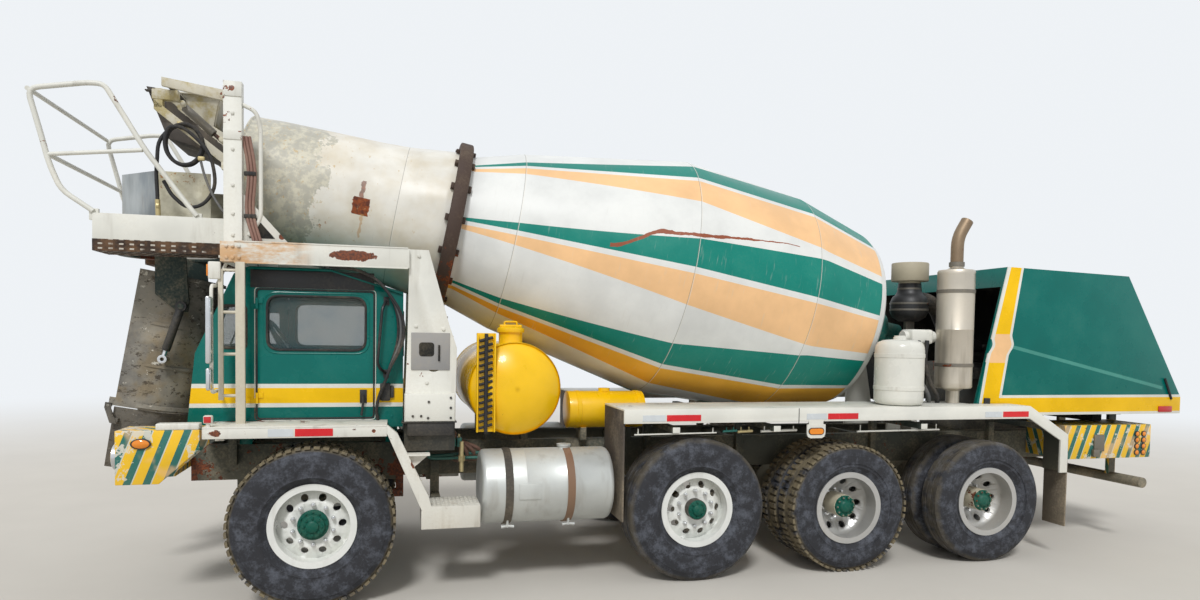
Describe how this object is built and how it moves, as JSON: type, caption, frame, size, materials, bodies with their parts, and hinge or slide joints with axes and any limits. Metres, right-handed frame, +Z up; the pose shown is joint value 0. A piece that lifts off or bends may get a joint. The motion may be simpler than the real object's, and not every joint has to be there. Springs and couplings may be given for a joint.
{
  "type": "front-discharge concrete mixer truck",
  "caption": "Heavy truck with a revolving concrete drum that empties over the cab, a tilting chute in front and an engine under a rear hood.",
  "frame": {"origin": "on the ground under the middle of the truck's box", "axes": "+X to the front, +Y to the driver's left, +Z up"},
  "size_m": [9.8596, 2.464, 3.74],
  "materials": {
    "white_paint": "worn satin paint",
    "green_paint": "glossy paint",
    "frame_paint": "dusty dark paint",
    "drum_paint": "satin paint with stripes",
    "yellow_paint": "glossy paint",
    "bare_steel": "worn and dusty",
    "rusty_steel": "rusty",
    "chute_steel": "concrete splatter",
    "aluminium": "brushed",
    "wheel_white": "satin",
    "tyre": "matt",
    "rubber": "matt",
    "seat_vinyl": "satin",
    "black_plastic": "matt",
    "glass": "clear",
    "mirror": "polished"
  },
  "bodies": {
    "chassis": {"frame_rails": "frame_paint", "front_bumper": "white_paint", "front_fenders": "white_paint", "cab_shell": "green_paint", "cab_glass": "glass", "driver_seat": "seat_vinyl", "steering_console": "black_plastic", "mirrors": "mirror", "ladder": "white_paint", "front_support": "white_paint", "drum_rollers": "bare_steel", "platform": "white_paint", "platform_rail": "white_paint", "discharge_hopper": "chute_steel", "rear_pedestal": "white_paint", "drum_drive": "bare_steel", "water_tank": "yellow_paint", "side_tank": "yellow_paint", "fuel_tanks": "aluminium", "hydraulic_tank": "white_paint", "rear_fenders": "white_paint", "mudflaps": "rubber", "air_cleaner": "bare_steel", "exhaust": "bare_steel", "engine": "bare_steel", "rear_bumper": "green_paint", "front_axle": "frame_paint", "fixed_axles": "frame_paint", "suspension": "frame_paint"},
    "left_door": {"door_left": "green_paint", "door_glass_left": "glass"},
    "right_door": {"door_right": "green_paint", "door_glass_right": "glass"},
    "hopper": {"charge_hopper": "chute_steel"},
    "yoke": {"chute_pivot": "bare_steel"},
    "chute": {"main_chute": "chute_steel"},
    "chute_end": {"folding_chute": "chute_steel"},
    "barrels": {"lift_barrels": "frame_paint"},
    "rods": {"lift_rods": "bare_steel"},
    "drum": {"drum_shell": "drum_paint", "drum_ring": "rusty_steel"},
    "hood": {"engine_hood": "green_paint"},
    "left_knuckle": {"knuckle_left": "bare_steel"},
    "right_knuckle": {"knuckle_right": "bare_steel"},
    "front_wheel_left": {"wheel_front_left": "wheel_white", "tyre_front_left": "tyre"},
    "pusher_wheel_left": {"wheel_pusher_left": "wheel_white", "tyre_pusher_left": "tyre"},
    "tandem_wheel_left": {"wheel_tandem_left": "aluminium", "tyre_tandem_left": "tyre"},
    "rear_wheel_left": {"wheel_rear_left": "aluminium", "tyre_rear_left": "tyre"},
    "front_wheel_right": {"wheel_front_right": "wheel_white", "tyre_front_right": "tyre"},
    "pusher_wheel_right": {"wheel_pusher_right": "wheel_white", "tyre_pusher_right": "tyre"},
    "tandem_wheel_right": {"wheel_tandem_right": "aluminium", "tyre_tandem_right": "tyre"},
    "rear_wheel_right": {"wheel_rear_right": "aluminium", "tyre_rear_right": "tyre"}
  },
  "joints": [
    {"name": "door_left_swing", "type": "hinge", "parent": "chassis", "child": "left_door", "pos_m": [3.457, 0.862, 1.75], "axis": [0, 0, -1], "range_deg": [0, 75]},
    {"name": "door_right_swing", "type": "hinge", "parent": "chassis", "child": "right_door", "pos_m": [3.457, -0.862, 1.75], "axis": [0, 0, 1], "range_deg": [0, 75]},
    {"name": "steer_left", "type": "hinge", "parent": "chassis", "child": "left_knuckle", "pos_m": [3.05, 0.79, 0.565], "axis": [0, 0, 1], "range_deg": [-30, 30]},
    {"name": "steer_right", "type": "hinge", "parent": "chassis", "child": "right_knuckle", "pos_m": [3.05, -0.79, 0.565], "axis": [0, 0, 1], "range_deg": [-30, 30]},
    {"name": "spin_front_left", "type": "hinge", "parent": "left_knuckle", "child": "front_wheel_left", "pos_m": [3.05, 1.02, 0.565], "axis": [0, 1, 0], "continuous": true},
    {"name": "spin_pusher_left", "type": "hinge", "parent": "chassis", "child": "pusher_wheel_left", "pos_m": [0.18, 1.02, 0.565], "axis": [0, 1, 0], "continuous": true},
    {"name": "spin_tandem_left", "type": "hinge", "parent": "chassis", "child": "tandem_wheel_left", "pos_m": [-1.16, 0.92, 0.53], "axis": [0, 1, 0], "continuous": true},
    {"name": "spin_rear_left", "type": "hinge", "parent": "chassis", "child": "rear_wheel_left", "pos_m": [-2.53, 0.92, 0.53], "axis": [0, 1, 0], "continuous": true},
    {"name": "spin_front_right", "type": "hinge", "parent": "right_knuckle", "child": "front_wheel_right", "pos_m": [3.05, -1.02, 0.565], "axis": [0, 1, 0], "continuous": true},
    {"name": "spin_pusher_right", "type": "hinge", "parent": "chassis", "child": "pusher_wheel_right", "pos_m": [0.18, -1.02, 0.565], "axis": [0, 1, 0], "continuous": true},
    {"name": "spin_tandem_right", "type": "hinge", "parent": "chassis", "child": "tandem_wheel_right", "pos_m": [-1.16, -0.92, 0.53], "axis": [0, 1, 0], "continuous": true},
    {"name": "spin_rear_right", "type": "hinge", "parent": "chassis", "child": "rear_wheel_right", "pos_m": [-2.53, -0.92, 0.53], "axis": [0, 1, 0], "continuous": true},
    {"name": "drum_spin", "type": "hinge", "parent": "chassis", "child": "drum", "pos_m": [0.57584, 0, 2.54679], "axis": [-0.9828, 0, -0.1848], "continuous": true},
    {"name": "chute_swing", "type": "hinge", "parent": "chassis", "child": "yoke", "pos_m": [4.19, 0, 2.4], "axis": [0, 0, 1], "range_deg": [-40, 40]},
    {"name": "chute_lift", "type": "hinge", "parent": "yoke", "child": "chute", "pos_m": [4.19, 0, 2.25], "axis": [0, -1, 0], "range_deg": [0, 60]},
    {"name": "chute_fold", "type": "hinge", "parent": "chute", "child": "chute_end", "pos_m": [4.57162, 0, 1.35264], "axis": [0, -1, 0], "range_deg": [0, 135]},
    {"name": "cylinder_tilt", "type": "hinge", "parent": "yoke", "child": "barrels", "pos_m": [4.06, 0, 2.1], "axis": [0, -1, 0], "range_deg": [0, 62.1]},
    {"name": "cylinder_stroke", "type": "slide", "parent": "barrels", "child": "rods", "axis": [0.3091, 0, -0.951], "range_m": [0, 0.19897]},
    {"name": "hopper_tilt", "type": "hinge", "parent": "chassis", "child": "hopper", "pos_m": [3.61, 0, 3.59], "axis": [0, -1, 0], "range_deg": [0, 40]},
    {"name": "hood_tilt", "type": "hinge", "parent": "chassis", "child": "hood", "pos_m": [-4.8, 0, 1.225], "axis": [0, -1, 0], "range_deg": [0, 60]}
  ],
  "couplings": [
    {"joint": "steer_right", "follows": "steer_left", "ratio": 1},
    {"joint": "cylinder_tilt", "follows": "chute_lift", "ratio": 1.035},
    {"joint": "cylinder_stroke", "follows": "chute_lift", "m_per_rad": 0.19}
  ]
}
